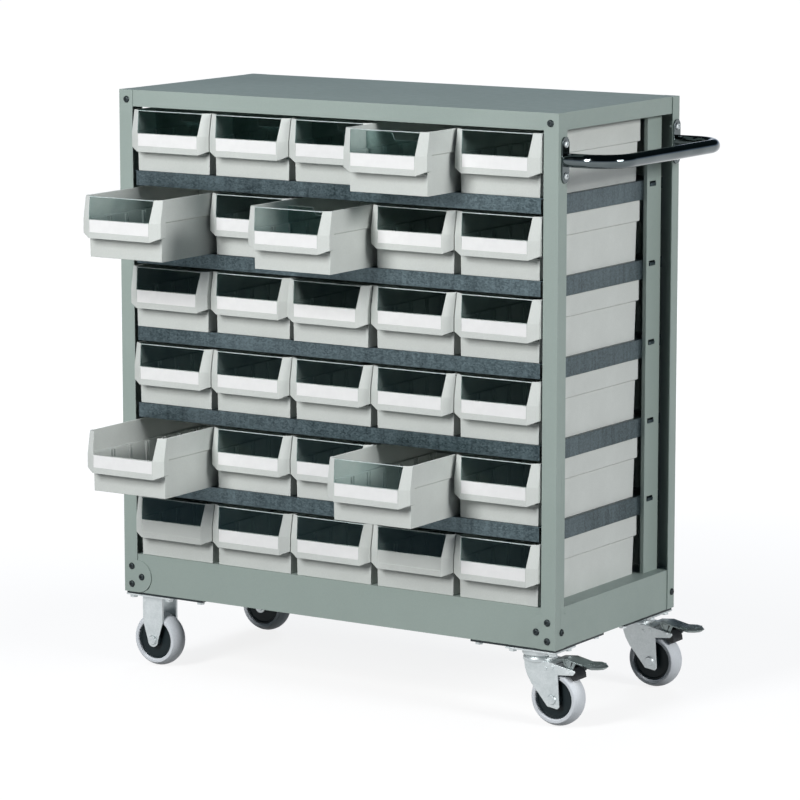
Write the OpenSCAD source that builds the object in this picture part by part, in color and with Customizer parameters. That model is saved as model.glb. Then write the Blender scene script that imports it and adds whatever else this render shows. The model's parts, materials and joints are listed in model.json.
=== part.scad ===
// Mobile parts bin cabinet.
// A bolted sheet-metal cabinet, open at the front and the sides, carries rows of pull-out
// shelf bins on galvanised shelves. It rolls on two fixed and two braked swivel castors and
// has a tubular push handle at the castors' swivelling end.
// X runs along the front, Y from the front to the back, Z up from the floor.
// The origin is at the middle of the bounding box's base.

/* [Bins] */
// Outside width of a bin's faceted front
bin_w = 170; // [150:1:190]
// Height of a bin
bin_h = 110.5; // [98:0.5:114]
// Length of a bin behind its lower front wall
bin_l = 337; // [280:1:380]
// How far the front stands out beyond each side of the body
front_proud = 2; // [1:0.5:4]
// Width of the step in each side of the body
bin_step_w = 3; // [1:0.5:6]
// How much narrower the body is at the floor, for draft
bin_draft = 3; // [0:0.5:6]
// Height of the step in the sides above the floor
bin_step_z = 69; // [66:0.5:80]
// Height of the sloping step itself
bin_step_h = 1.5; // [0.5:0.1:3]
// How far the upper back wall stands out beyond the lower one
bin_back_step = 5; // [0:0.5:8]
// Wall thickness of the moulding
bin_wall = 2.2; // [1.6:0.1:2.4]
// Depth from the front plane of the cabinet to a closed bin's lower front wall
bin_setback = 5; // [3:0.5:10]
// Gap between neighbouring bin fronts
bin_gap = 1.5; // [1:0.1:4]
// Gap between an end bin and the post flange beside it
bin_side_clear = 3; // [2.7:0.1:4]

/* [Bin front] */
// Height of the underside of the projecting front
front_z = 36; // [30:0.5:38]
// Height of the chamfers on its lower corners
front_chamfer_h = 7.5; // [3:0.5:10]
// Height at which the front starts to lean back
front_kink_z = 69.5; // [68:0.5:74]
// Projection of the label plane before the lower wall
front_reach = 20.4; // [16:0.1:24]
// Projection of the outer ends at the label band
front_end_reach = 11; // [8:0.1:13]
// Projection of the label plane's continuation at the top edge
top_reach = 10.8; // [8:0.1:14]
// Projection of the outer ends at the top edge
top_end_reach = 3; // [1:0.1:5]
// Width of the slanted facet at each end of the label plane
facet_w = 18.2; // [14:0.1:24]
// Width of the same facet at the top edge
top_facet_w = 13.6; // [10:0.1:18]
// Depth that the front's side flanges wrap back over the body
front_wrap = 4; // [2:0.5:8]
// Rim left on each side of the window
window_rim = 0.8; // [0.4:0.1:3]
// Rim left on each side of the label recess
label_rim = 1.8; // [1:0.1:10]
// Height of the label recess
label_h = 22.5; // [16:0.1:24]
// Depth of the label recess
label_recess = 0.7; // [0.4:0.1:1]
// Thickness of the paper label
label_t = 0.4; // [0.2:0.05:0.5]
// Thickness of the clear window pane and of the clear divider
pane_t = 1.5; // [1:0.1:2]
// How far the pane sits behind the front plane
pane_inset = 0.6; // [0.3:0.1:0.9]
// Gap between the pane's top edge and the bin's rim
pane_top_gap = 0.5; // [0:0.5:3]
// Play of the label, the pane and the divider in their seats
insert_play = 0.2; // [0.15:0.05:0.4]
// Distance of the first divider slot behind the lower front wall
divider_y = 54.5; // [45:0.5:70]
// Distance from one divider slot to the next
divider_pitch = 51.5; // [40:0.5:60]
// Height of the divider's top above the bin's floor
divider_h = 98; // [80:1:104]
// Width of the divider's finger notch at its top
notch_w = 58; // [30:1:80]
// Depth of the finger notch
notch_h = 13; // [6:1:20]

/* [Frame] */
// Gap between the top of a bin and the shelf's lip above it
row_gap = 4; // [2:0.5:20]
// Spare height over the top row
top_row_extra = 4; // [3:1:20]
// Space behind the uprights
rear_space = 23; // [18:1:60]
// Gap between the bins' backs and the uprights
upright_gap = 7; // [3:1:20]
// Thickness of the painted sheet
sheet = 2; // [1.5:0.1:2.5]
// Thickness of the back panel
panel_t = 1.5; // [1:0.1:2]
// Width of the front posts' flanges
post_flange = 29; // [26:0.5:36]
// Width of the rear posts' flanges along the back
rear_flange = 30; // [26:0.5:40]
// Width of the rear posts' flanges along the sides
rear_side_flange = 24; // [24:0.5:30]
// Radius of the rounded foot gussets of the posts
foot_r = 30; // [26:0.5:36]
// Height of the top tray's lip
top_lip = 30; // [28:1:34]
// Height of the base tray
base_h = 72; // [64:1:90]
// Width of the base tray's inward bottom return
base_return = 18; // [18:0.5:24]

/* [Shelves and uprights] */
// Thickness of the galvanised sheet
shelf_t = 1; // [0.8:0.1:1.5]
// Gap between the front posts' edges and the ends of a shelf
shelf_clear = 1.5; // [0.5:0.1:1.8]
// Height of the shelf's front lip
shelf_lip = 27; // [20:1:28]
// Distance of the lip's ends from the ends of the shelf
lip_inset = 4.5; // [2:0.5:8]
// Width of the return under the front lip
shelf_return = 8; // [4:0.5:12]
// Height of the shelf's side flanges
side_flange = 34; // [28:1:40]
// Height of the lip along the shelf's back edge
shelf_back_lip = 20; // [10:1:26]
// Width of the slotted uprights
upright_w = 50; // [44:1:60]
// Depth of their channel
upright_d = 7.5; // [5:0.5:10]
// Thickness of their sheet
upright_t = 1.5; // [1.2:0.1:2]
// Width of a slot
slot_w = 22; // [16:1:28]
// Height of a slot
slot_h = 9; // [7:0.5:12]
// Distance of a slot's middle behind the upright's front edge
slot_y = 20; // [16:0.5:24]
// Depth of a slot's lower edge under the shelf's top
slot_drop = 11.5; // [10:0.5:14]
// Play of a shelf hook in its slot, sideways
hook_play = 1.5; // [0.5:0.1:3]
// Height of a shelf hook
hook_h = 6; // [4:0.5:7]
// How far a hook stands out beyond the upright's face
hook_proud = 1.5; // [0.5:0.1:4]

/* [Push handle] */
// Diameter of the handle's tube
tube_d = 24; // [20:1:30]
// Distance of the tube's centreline from the cabinet's side
handle_standoff = 97; // [80:1:130]
// Radius of the tube's bends
bend_r = 55; // [40:1:70]
// Height of the handle's centreline under the cabinet's top
handle_drop = 80; // [60:1:200]
// Distance of the front end plate's middle from the front plane
handle_front_y = 20; // [18:0.5:20]
// Distance of the rear end plate's middle from the back plane
handle_rear_y = 12; // [12:0.5:16]
// Width of an end plate
plate_w = 23; // [20:0.5:24]
// Height of an end plate
plate_h = 79; // [70:1:100]
// Thickness of an end plate
plate_t = 3; // [2:0.5:5]
// Distance of each plate screw from the tube's centre
plate_screw = 27; // [24:0.5:30]

/* [Screws] */
// Diameter of a socket button head
head_d = 12.5; // [10:0.5:14]
// Height of the head
head_h = 3.3; // [2.5:0.1:4]
// Across-flats size of the head's hexagon socket
socket_af = 4; // [3:0.5:5]
// Depth of the socket
socket_depth = 1.8; // [1:0.1:2]
// Diameter of the shank
shank_d = 6; // [5:0.5:6.5]
// Length of the shank
shank_l = 14; // [10:1:16]
// Radial clearance of every screw and bolt in its hole
hole_play = 0.25; // [0.1:0.05:0.4]

/* [Castors] */
// Diameter of the wheels
wheel_d = 100; // [90:1:110]
// Width of the tyre
tyre_w = 38; // [32:1:40]
// Radius of the tyre's rounded tread, across it
tread_r = 28; // [22:1:40]
// Outside radius of the wheel's hub
hub_r = 36; // [30:0.5:38]
// Diameter of the axle bolt
axle_d = 10; // [8:0.5:12]
// Radial running clearance of the wheels, the kingpins and the pedals
running_play = 0.05; // [0.02:0.01:0.1]
// Gap between a hub and the fork's legs
hub_gap = 1; // [0.5:0.1:1.5]
// Width over a fork's two legs
fork_w = 48; // [46:0.5:54]
// Thickness of a fork's sheet
fork_t = 2.5; // [2:0.1:3]
// Overall height of a castor, from the floor to the top of its plate
castor_h = 136; // [134:1:150]
// Thickness of a castor's top plate
top_plate_t = 3; // [2.5:0.1:4]
// Length of a castor's top plate, along X
top_plate_l = 100; // [96:1:110]
// Width of a castor's top plate, along Y
top_plate_w = 72; // [70:1:75]
// Distance of a castor's middle from the cabinet's end
castor_x = 52; // [52:1:80]
// Distance of a castor's middle from the cabinet's front or back
castor_y = 38; // [38:1:60]
// Trail of a swivel castor
trail = 37; // [34:1:39]
// Depth of the swivel fork's crown under the top of the castor
crown_drop = 20; // [18:0.5:24]
// Height of the race's lower half on the crown
race_h = 7; // [5:0.5:8]
// Gap between the race's halves
race_gap = 0.4; // [0.2:0.1:1]
// Radius of the ball race
race_r = 32; // [28:0.5:33]
// Diameter of the kingpin
kingpin_d = 12; // [10:0.5:14]
// Distance of the castor bolts from the edges of the top plate
top_bolt_inset = 10; // [9:0.5:12]
// Length and width of the plates that mount the castors
mount_plate = 170; // [160:1:180]
// Thickness of the mounting plates
mount_plate_t = 4; // [3:0.5:6]
// How far a mounting plate sits in from the cabinet's edges
mount_inset = 3; // [2:0.5:4]
// Distance of the bolts from a mounting plate's edges
mount_bolt_inset = 11; // [10:0.5:12]
// Diameter of the castor bolts
bolt_d = 8; // [6:0.5:8]
// Across-flats size of their heads and nuts
bolt_af = 13; // [12:0.5:14]
// Height of their heads
bolt_head_h = 5.3; // [4:0.1:6]
// Height of their nuts
bolt_nut_h = 6.5; // [5:0.1:8]

/* [Brake] */
// Distance of the pedal's hinge pin from the axle, along X
brake_pin_x = 32; // [30:0.5:34]
// Height of the hinge pin above the axle
brake_pin_z = 53; // [52.5:0.1:53.5]
// Diameter of the hinge pin
brake_pin_d = 6; // [5:0.5:6]
// Gap between the shoe and the tyre when the brake is off
shoe_gap = 2.8; // [2.7:0.1:4]
// Width of the pedal's lever
lever_w = 38; // [32:1:40]
// Thickness of the lever's sheet
lever_t = 2; // [1.5:0.1:2.5]
// Width of the leaf-shaped pedal
pedal_w = 44; // [36:1:50]
// Length of the leaf
pedal_l = 51; // [44:1:54]
// Thickness of the leaf at its middle
pedal_h = 8; // [6:0.5:9]
// Distance of the pedal's tip from the axle
pedal_reach = 96; // [90:1:100]

/* [Hidden] */
$fn = 64;
bin_rows = 6;
bin_columns = 5;

// Distance that each bin is drawn out, row by row from the top, left to right.
bin_pull = [
    [0, 0, 0, 86, 0],
    [147, 0, 127, 0, 0],
    [8, 0, 8, 0, 0],
    [0, 0, 0, 0, 0],
    [144, 0, 0, 138, 0],
    [0, 0, 0, 0, 0],
];
// Bins with a clear cross divider, each with the number of the slot it stands in.
divided = [[1, 1, 0], [1, 2, 0], [1, 3, 0], [1, 4, 0], [2, 3, 1]];
// Bins without a window pane and without a label.
paneless = [[5, 1]];
unlabelled = [[6, 1], [6, 4]];

bin_band_w = bin_w - 2 * front_proud;
bin_lower_w = bin_band_w - 2 * bin_step_w;
front_plane_w = bin_w - 2 * facet_w;
top_plane_w = bin_w - 2 * top_facet_w;
label_w = front_plane_w - 2 * label_rim;
bin_pitch = bin_w + bin_gap;
row_pitch = bin_h + row_gap + shelf_lip;
bin_edge = post_flange + bin_side_clear;
cabinet_w = 2 * bin_edge + bin_columns * bin_pitch - bin_gap;
upright_y = bin_setback + bin_l + upright_gap;
cabinet_d = upright_y + upright_w + rear_space;
body_z = castor_h + mount_plate_t;
body_h = base_h + bin_rows * row_pitch + top_row_extra;
top_z = body_z + body_h;
handle_z = top_z - handle_drop;
shelf_x = post_flange + shelf_clear;
shelf_w = cabinet_w - 2 * shelf_x;
tray_d = cabinet_d - 2 * sheet - panel_t;
tray_back = sheet + tray_d;
upright_x = shelf_x - upright_d;
rear_handle_y = cabinet_d - handle_rear_y;

wheel_r = wheel_d / 2;
swivel_x = cabinet_w - castor_x;
rear_castor_y = cabinet_d - castor_y;
top_plate_z = castor_h - top_plate_t;
fork_top = castor_h - crown_drop - wheel_r;
cup_z = wheel_r + fork_top + race_h + race_gap;
pedal_z = fork_top - 2.5;

// The envelope that puts the origin at the middle of the base.
furthest_pull = max([for (row = bin_pull) max(row)]);
envelope_x0 = -head_h;
envelope_x1 = cabinet_w + handle_standoff + tube_d / 2;
envelope_y0 = bin_setback - furthest_pull - front_reach;
envelope_y1 = cabinet_d + head_h;
origin = [(envelope_x0 + envelope_x1) / 2, (envelope_y0 + envelope_y1) / 2, 0];

paint = [0.59, 0.64, 0.61];
zinc = [0.62, 0.65, 0.68];
galvanised = [0.45, 0.50, 0.53];
bin_grey = [0.78, 0.80, 0.79];
paper = [0.96, 0.96, 0.97];
clear = [0.80, 0.88, 0.88, 0.35];
black = [0.08, 0.10, 0.11];
tyre_grey = [0.72, 0.74, 0.77];
chrome = [0.80, 0.82, 0.84];

// ---------- shared helpers ----------

function listed(list, r, c) = len([for (p = list) if (p == [r, c]) p]) > 0;
function row_z(r) = body_z + base_h + (bin_rows - r) * row_pitch;
function column_x(c) = bin_edge + bin_w / 2 + (c - 1) * bin_pitch;

// Moves cabinet coordinates to the origin at the middle of the base.
module place() translate(-origin) children();

// Repeats its children at both ends of the cabinet, mirrored about its middle in X.
module both_ends() {
    children();
    translate([cabinet_w, 0, 0]) mirror([1, 0, 0]) children();
}

// Repeats its children at the front and the back, mirrored about the middle in Y.
module front_and_back() {
    children();
    translate([0, cabinet_d, 0]) mirror([0, 1, 0]) children();
}

// Extrudes an outline in X and Z along Y, from y0 to y1.
module along_y(y0, y1) translate([0, y1, 0]) rotate([90, 0, 0]) linear_extrude(y1 - y0) children();

// Extrudes an outline in Y and Z along X, from x0 to x1.
module along_x(x0, x1) translate([x0, 0, 0]) rotate([90, 0, 90]) linear_extrude(x1 - x0) children();

// A socket button screw whose head rests on the plane z = 0 and whose shank points down.
module button_screw() {
    r = head_d / 2;
    difference() {
        union() {
            rotate_extrude() polygon([
                [0, 0], [r, 0], [r, 0.25 * head_h], [0.84 * r, 0.72 * head_h],
                [0.55 * r, head_h], [0, head_h]
            ]);
            translate([0, 0, -shank_l]) cylinder(d = shank_d, h = shank_l);
        }
        translate([0, 0, head_h - socket_depth])
            cylinder(d = socket_af / cos(30), h = head_h, $fn = 6);
    }
}

// A hexagon bolt with its head under z = 0 and its nut on z = grip.
module hex_bolt(grip) {
    hex_d = bolt_af / cos(30);
    translate([0, 0, -bolt_head_h]) cylinder(d = hex_d, h = bolt_head_h, $fn = 6);
    cylinder(d = bolt_d, h = grip + bolt_nut_h + 2);
    translate([0, 0, grip]) cylinder(d = hex_d, h = bolt_nut_h, $fn = 6);
}

// ---------- screw and bolt positions ----------

// Each post's front screws, as distances from its corner of the cabinet and heights.
function post_screws() = [
    [16.5, body_z + 15], [16.5, body_z + 48], [38.6, body_z + 29.5], [16, top_z - 17.5]
];
front_side_screw = [20, body_z + 29];
rear_side_screw = [9, body_z + 30];

// Puts its children at every frame screw, with z pointing out of the sheet.
module at_frame_screws() {
    both_ends() {
        front_and_back()
            for (p = post_screws())
                translate([p[0], 0, p[1]]) rotate([90, 0, 0]) children();
        translate([0, front_side_screw[0], front_side_screw[1]])
            rotate([0, -90, 0]) children();
        translate([0, cabinet_d - rear_side_screw[0], rear_side_screw[1]])
            rotate([0, -90, 0]) children();
    }
}

// Puts its children at the push handle's screws, on the cabinet's side, with z outward.
module at_handle_screws()
    for (y = [handle_front_y, rear_handle_y], side = [-1, 1])
        translate([cabinet_w, y, handle_z + side * plate_screw])
            rotate([0, 90, 0]) children();

module screw_hole() translate([0, 0, -shank_l]) cylinder(r = shank_d / 2 + hole_play, h = 2 * shank_l);

module frame_screw_holes() {
    at_frame_screws() screw_hole();
    at_handle_screws() screw_hole();
}

// Puts its children at each castor's middle.
module at_castors() both_ends() front_and_back() translate([castor_x, castor_y, 0]) children();

// Bolts that hold the castors, as offsets from a castor's middle.
function castor_bolt_points() = [
    for (i = [-1, 1], j = [-1, 1])
        [i * (top_plate_l / 2 - top_bolt_inset), j * (top_plate_w / 2 - top_bolt_inset)]
];
// Bolts that hold a mounting plate's three inner corners, as distances from the
// cabinet's corner. A castor bolt clamps the plate's outer corner.
function plate_bolt_points() = let (
    near = mount_inset + mount_bolt_inset,
    far = mount_inset + mount_plate - mount_bolt_inset
) [[far, near], [near, far], [far, far]];
// Height of what a bolt clamps above the mounting plate, at a distance from the corner.
function flange_over(x, y) = min(x, y) < sheet + base_return ? sheet : 0;

// A bolt's hole through the plates above and below the plane z = 0.
module bolt_hole() translate([0, 0, -top_plate_t - 1])
    cylinder(r = bolt_d / 2 + hole_play, h = top_plate_t + mount_plate_t + sheet + 2);

module castor_bolt_holes() {
    at_castors() for (p = castor_bolt_points())
        translate([p[0], p[1], castor_h]) bolt_hole();
    both_ends() front_and_back() for (p = plate_bolt_points())
        translate([p[0], p[1], castor_h]) bolt_hole();
}

// ---------- frame ----------

// A sheet tray that opens downward, of a given height under its top.
module tray(z_top, h, return_w) {
    inner_w = cabinet_w - 4 * sheet;
    difference() {
        translate([sheet, sheet, z_top - h]) cube([cabinet_w - 2 * sheet, tray_d, h]);
        translate([2 * sheet, 2 * sheet, z_top - h + (return_w > 0 ? sheet : -sheet)])
            cube([inner_w, tray_d - 2 * sheet, h - (return_w > 0 ? 2 : 0) * sheet]);
        if (return_w > 0)
            translate([sheet + return_w, sheet + return_w, z_top - h - sheet])
                cube([cabinet_w - 2 * (sheet + return_w), tray_d - 2 * return_w, 3 * sheet]);
    }
}

module top_tray() color(paint) difference() {
    tray(top_z, top_lip, 0);
    frame_screw_holes();
}

module base_tray() color(paint) difference() {
    tray(body_z + base_h, base_h, base_return);
    frame_screw_holes();
    castor_bolt_holes();
}

// The outline of a post's flange, with its rounded foot.
module post_outline(w) {
    translate([0, body_z]) square([w, body_h]);
    difference() {
        translate([foot_r, body_z + foot_r]) circle(r = foot_r);
        translate([-foot_r, body_z]) square([foot_r, 2 * foot_r]);
    }
    translate([0, body_z]) square([foot_r, foot_r]);
}

// The posts at the front corners. Their side flanges turn inward between the trays,
// up to the shelves' ends.
module front_posts() color(paint) difference() {
    z0 = body_z + base_h;
    both_ends() {
        along_y(0, sheet) post_outline(post_flange);
        along_x(0, sheet) post_outline(post_flange);
        translate([0, post_flange - sheet, z0])
            cube([shelf_x, sheet, top_z - top_lip - z0]);
    }
    frame_screw_holes();
}

module rear_posts() color(paint) difference() {
    both_ends() {
        along_y(cabinet_d - sheet, cabinet_d) post_outline(rear_flange);
        translate([0, cabinet_d - rear_side_flange, body_z])
            cube([sheet, rear_side_flange, body_h]);
    }
    frame_screw_holes();
}

module slotted_uprights() color(paint) {
    z0 = body_z + base_h;
    h = body_h - base_h - sheet;
    both_ends() difference() {
        translate([upright_x, upright_y, z0]) cube([upright_d, upright_w, h]);
        translate([upright_x + upright_t, upright_y + upright_t, z0 - 1])
            cube([upright_d, upright_w - 2 * upright_t, h + 2]);
        for (r = [1:bin_rows - 1])
            translate([upright_x - 1, upright_y + slot_y - slot_w / 2, row_z(r) - slot_drop])
                cube([upright_d, slot_w, slot_h]);
    }
}

module back_panel() color(paint) difference() {
    translate([sheet, tray_back, body_z]) cube([cabinet_w - 2 * sheet, panel_t, body_h]);
    frame_screw_holes();
}

// A galvanised shelf under row r, hooked into the uprights' slots.
module shelf(r) color(galvanised) translate([0, 0, row_z(r)]) {
    flange_y = post_flange - sheet - 1;
    lip_w = shelf_w - 2 * lip_inset;
    translate([shelf_x, sheet, -shelf_t]) cube([shelf_w, tray_d, shelf_t]);
    translate([shelf_x + lip_inset, sheet, -shelf_lip]) {
        cube([lip_w, shelf_t, shelf_lip]);
        cube([lip_w, shelf_return, shelf_t]);
    }
    translate([shelf_x, tray_back - shelf_t, -shelf_back_lip])
        cube([shelf_w, shelf_t, shelf_back_lip]);
    both_ends() {
        translate([shelf_x, flange_y, -side_flange])
            cube([shelf_t, upright_y - flange_y, side_flange]);
        translate([shelf_x, upright_y - shelf_t, -side_flange])
            cube([shelf_return, shelf_t, side_flange]);
        translate([shelf_x, upright_y + slot_y - slot_w / 2 + hook_play, -slot_drop])
            cube([shelf_t, slot_w - 2 * hook_play, slot_drop]);
        translate([upright_x - hook_proud, upright_y + slot_y - slot_w / 2 + hook_play, -slot_drop])
            cube([upright_d + hook_proud + shelf_t, slot_w - 2 * hook_play, hook_h]);
    }
}

// ---------- push handle and screws ----------

// An end plate, round at both ends, standing on the cabinet's side.
module handle_plate() rotate([0, 90, 0]) linear_extrude(plate_t) difference() {
    union() {
        square([plate_h - plate_w, plate_w], center = true);
        for (side = [-1, 1]) translate([side * (plate_h - plate_w) / 2, 0]) circle(d = plate_w);
    }
    for (side = [-1, 1]) translate([side * plate_screw, 0]) circle(r = shank_d / 2 + hole_play);
}

module push_handle() color(chrome) translate([cabinet_w, 0, handle_z]) {
    run_l = handle_standoff - bend_r;
    for (y = [handle_front_y, rear_handle_y]) translate([0, y, 0]) {
        handle_plate();
        rotate([0, 90, 0]) cylinder(d = tube_d - 1, h = plate_t + 1);
        translate([plate_t, 0, 0]) rotate([0, 90, 0]) cylinder(d = tube_d, h = run_l - plate_t);
    }
    translate([run_l, handle_front_y + bend_r, 0])
        rotate([0, 0, -90]) rotate_extrude(angle = 90) translate([bend_r, 0]) circle(d = tube_d);
    translate([run_l, rear_handle_y - bend_r, 0])
        rotate_extrude(angle = 90) translate([bend_r, 0]) circle(d = tube_d);
    translate([handle_standoff, handle_front_y + bend_r, 0]) rotate([-90, 0, 0])
        cylinder(d = tube_d, h = rear_handle_y - handle_front_y - 2 * bend_r);
}

module handle_screws() color(zinc) at_handle_screws() translate([0, 0, plate_t]) button_screw();

module frame_screws() color(black) at_frame_screws() button_screw();

// ---------- castors ----------

module castor_mount_plates() color(black) difference() {
    both_ends() front_and_back() translate([mount_inset, mount_inset, castor_h])
        cube([mount_plate, mount_plate, mount_plate_t]);
    castor_bolt_holes();
}

module castor_bolts() color(zinc) {
    at_castors() for (p = castor_bolt_points()) translate([p[0], p[1], top_plate_z])
        hex_bolt(top_plate_t + mount_plate_t + flange_over(castor_x + p[0], castor_y + p[1]));
    both_ends() front_and_back() for (p = plate_bolt_points())
        translate([p[0], p[1], castor_h]) hex_bolt(mount_plate_t + flange_over(p[0], p[1]));
}

// A castor's top plate about its middle.
module castor_top_plate() difference() {
    translate([-top_plate_l / 2, -top_plate_w / 2, top_plate_z])
        cube([top_plate_l, top_plate_w, top_plate_t]);
    for (p = castor_bolt_points()) translate([p[0], p[1], castor_h]) bolt_hole();
}

// An axle bolt with a round head and a hexagon nut outside the fork's legs.
module axle_bolt() rotate([90, 0, 0]) {
    seat = fork_w / 2 + running_play;
    translate([0, 0, -seat]) cylinder(d = axle_d, h = 2 * seat);
    translate([0, 0, seat]) cylinder(d1 = 1.8 * axle_d, d2 = 1.5 * axle_d, h = 0.35 * axle_d);
    translate([0, 0, -seat - 0.6 * axle_d]) cylinder(d = 1.7 * axle_d, h = 0.6 * axle_d, $fn = 6);
}

module axle_hole() rotate([90, 0, 0]) cylinder(r = axle_d / 2 + running_play, h = 2 * fork_w, center = true);

// Half of a pair of legs: an outline in X and Z, cut to the thickness of the front leg.
module legs() for (side = [-1, 1]) along_y(side * (fork_w - fork_t) / 2 - fork_t / 2,
    side * (fork_w - fork_t) / 2 + fork_t / 2) children();

// The fork of a fixed castor, about the middle of its wheel.
module fixed_fork() {
    shoulder_z = 34;
    half_top = 22;
    half_toe = 11;
    leg_top = top_plate_z - wheel_r + 0.01;
    rim_depth = 5;
    translate([0, 0, -wheel_r]) castor_top_plate();
    difference() {
        legs() {
            polygon([
                [-half_top, leg_top], [-half_top, shoulder_z], [-half_toe, -2],
                [half_toe, -2], [half_top, shoulder_z], [half_top, leg_top]
            ]);
            translate([0, -2]) circle(r = half_toe);
        }
        axle_hole();
    }
    for (side = [-1, 1], end = [-1, 1])
        translate([end * (half_top - fork_t / 2) - fork_t / 2,
            side * (fork_w - rim_depth) / 2 - rim_depth / 2, shoulder_z])
            cube([fork_t, rim_depth, leg_top - shoulder_z]);
}

module fixed_forks() color(zinc) for (y = [castor_y, rear_castor_y])
    translate([castor_x, y, wheel_r]) {
        fixed_fork();
        axle_bolt();
    }

// The top plates of the swivel castors, with the race's upper cup and the kingpin.
module swivel_top_plates() color(zinc) for (y = [castor_y, rear_castor_y])
    translate([swivel_x, y, 0]) {
        castor_top_plate();
        nut_h = 0.5 * kingpin_d;
        nut_top = wheel_r + fork_top - fork_t - race_gap;
        rotate_extrude() polygon([
            [0, top_plate_z], [race_r, top_plate_z], [race_r, cup_z + 2], [race_r - 2, cup_z],
            [kingpin_d / 2, cup_z], [kingpin_d / 2, nut_top - nut_h], [0, nut_top - nut_h]
        ]);
        translate([0, 0, nut_top - nut_h]) cylinder(d = 1.7 * kingpin_d, h = nut_h, $fn = 6);
    }

// The fork of a swivel castor, about the middle of its wheel. The kingpin is at x = -trail.
module swivel_fork() {
    nose = [44.7, fork_top - 10];
    crown_end = -trail - 19;
    difference() {
        union() {
            legs() {
                polygon([
                    [crown_end, fork_top], [-54, 50], [-49, 37], [-41, 24], [-30, 12],
                    [-9, -13], [11, -16], [15, -12], [11.5, 44.5], [41.5, 47.5],
                    [46, 53], nose, [-10.6, fork_top]
                ]);
            }
            along_y(-fork_w / 2, fork_w / 2) polygon([
                [crown_end, fork_top - fork_t], [crown_end, fork_top], [-10.6, fork_top],
                [6, fork_top - 3], [6, fork_top - 3 - fork_t], [-10.6, fork_top - fork_t]
            ]);
            translate([-trail, 0, fork_top - fork_t]) cylinder(r = race_r - 2, h = fork_t);
            translate([-trail, 0, fork_top]) rotate_extrude() polygon([
                [0, 0], [race_r - 2, 0], [race_r - 2, 0.4 * race_h], [race_r - 5, race_h],
                [0, race_h]
            ]);
            for (side = [-1, 1], p = [[-13.7, 53], [0, 56.5]])
                translate([p[0], side * (fork_w / 2 + 0.7), p[1]]) rotate([90, 0, 0])
                    cylinder(r = 3.2, h = 1.6, center = true);
        }
        axle_hole();
        translate([-trail, 0, 0]) cylinder(r = kingpin_d / 2 + running_play, h = 2 * fork_top);
    }
    translate([brake_pin_x, 0, brake_pin_z]) rotate([90, 0, 0]) {
        cylinder(d = brake_pin_d, h = fork_w, center = true);
        for (side = [-1, 1])
            translate([0, 0, side * (fork_w / 2 + 0.6)])
                cylinder(d = brake_pin_d + 3, h = 1.4, center = true);
    }
    axle_bolt();
}

module swivel_fork_at(y) color(zinc) translate([swivel_x + trail, y, wheel_r]) swivel_fork();

// A slice of the leaf-shaped pedal, drawn in to a share of its size, under height z.
module leaf_slice(share, z) {
    foot = lever_w / 4;
    mid = pedal_reach - pedal_l / 2;
    translate([mid, 0, z - 0.4]) linear_extrude(0.4) polygon(share * [
        [-pedal_l / 2, -foot], [pedal_l / 2 - 32, -foot], [pedal_l / 2 - 20, -pedal_w / 2],
        [pedal_l / 2 - 8, -0.36 * pedal_w], [pedal_l / 2, -0.12 * pedal_w],
        [pedal_l / 2, 0.12 * pedal_w], [pedal_l / 2 - 8, 0.36 * pedal_w],
        [pedal_l / 2 - 20, pedal_w / 2], [pedal_l / 2 - 32, foot], [-pedal_l / 2, foot]
    ]);
}

// The pedal about the middle of the wheel.
module brake_pedal() {
    pin_r = brake_pin_d / 2 + running_play;
    cheek = lever_w / 2;
    pad_top = pedal_z + 5;
    difference() {
        union() {
            along_y(-cheek, cheek) polygon([
                [2, fork_top + 3], [26, fork_top + 5.5], [58, pedal_z + 1.5],
                [58, pedal_z + 1.5 + lever_t], [26.5, fork_top + 5.5 + lever_t],
                [2, fork_top + 3 + lever_t]
            ]);
            for (side = [-1, 1]) along_y(side * (cheek - lever_t / 2) - lever_t / 2,
                side * (cheek - lever_t / 2) + lever_t / 2) {
                polygon([
                    [18, fork_top + 5.5], [brake_pin_x - 5.5, brake_pin_z],
                    [brake_pin_x + 5.5, brake_pin_z], [44, pedal_z + 5]
                ]);
                translate([brake_pin_x, brake_pin_z]) circle(r = 5.5);
            }
            hull() {
                leaf_slice(0.82, pad_top - pedal_h + 0.4);
                leaf_slice(1, pad_top - 0.45 * pedal_h);
                leaf_slice(0.86, pad_top);
            }
            for (x = [-30:5:-10])
                translate([pedal_reach + x, -0.28 * pedal_w, pad_top - 0.5])
                    cube([2, 0.56 * pedal_w, 1.3]);
        }
        translate([brake_pin_x, 0, brake_pin_z]) rotate([90, 0, 0])
            cylinder(r = pin_r, h = fork_w, center = true);
    }
}

module brake_shoe() {
    pin_r = brake_pin_d / 2 + running_play;
    half_w = lever_w / 2 - lever_t - 0.3;
    difference() {
        along_y(-half_w, half_w) polygon([
            [26, brake_pin_z + 5], [22, 42], [37, 36], [46, 38], [45, 46], [38, brake_pin_z + 5]
        ]);
        rotate([90, 0, 0]) cylinder(r = wheel_r + shoe_gap, h = fork_w, center = true);
        translate([brake_pin_x, 0, brake_pin_z]) rotate([90, 0, 0])
            cylinder(r = pin_r, h = fork_w, center = true);
    }
}

module brake_pedal_at(y) translate([swivel_x + trail, y, wheel_r]) {
    color(zinc) brake_pedal();
    color(black) brake_shoe();
}

// ---------- wheels ----------

module tyre() color(tyre_grey) rotate([90, 0, 0]) rotate_extrude($fn = 96) difference() {
    intersection() {
        translate([hub_r, -tyre_w / 2]) square([wheel_r - hub_r, tyre_w]);
        translate([wheel_r - tread_r, 0]) circle(r = tread_r);
    }
    translate([0, -tyre_w]) square([hub_r + running_play, 2 * tyre_w]);
}

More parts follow.
